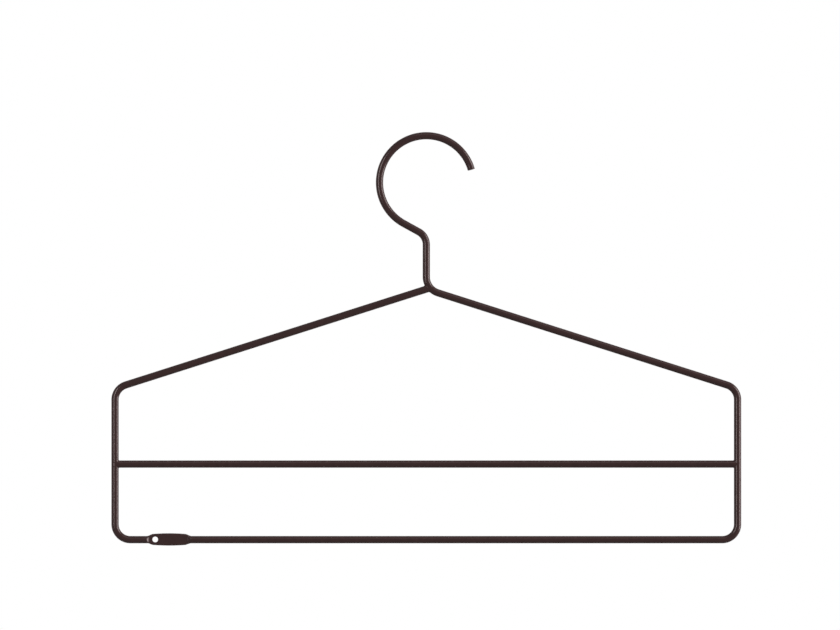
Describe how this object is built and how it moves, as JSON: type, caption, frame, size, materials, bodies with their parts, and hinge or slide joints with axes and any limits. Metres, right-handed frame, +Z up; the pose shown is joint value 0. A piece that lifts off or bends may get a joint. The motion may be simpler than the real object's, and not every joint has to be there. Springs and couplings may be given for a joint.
{
  "type": "coat hanger",
  "caption": "Steel rod coat hanger with an open hook, sloping shoulders, square lower frame, welded trouser bar and a pierced flat pressed into the bottom run.",
  "frame": {"origin": "underside of the hook's crown, where the hanger rests on a rail", "axes": "+X across the hanger towards the side that the hook opens to, +Y square to the frame's plane, away from the viewer, +Z up"},
  "size_m": [0.45, 0.0052, 0.2955],
  "materials": {
    "frame_wire": "dark brown satin powder coat",
    "trouser_bar": "dark brown satin powder coat",
    "neck_weld": "dark brown satin powder coat",
    "left_bar_weld": "dark brown satin powder coat",
    "right_bar_weld": "dark brown satin powder coat"
  },
  "bodies": {
    "root": {"frame_wire": "frame_wire", "trouser_bar": "trouser_bar", "neck_weld": "neck_weld", "left_bar_weld": "left_bar_weld", "right_bar_weld": "right_bar_weld"}
  },
  "joints": []
}
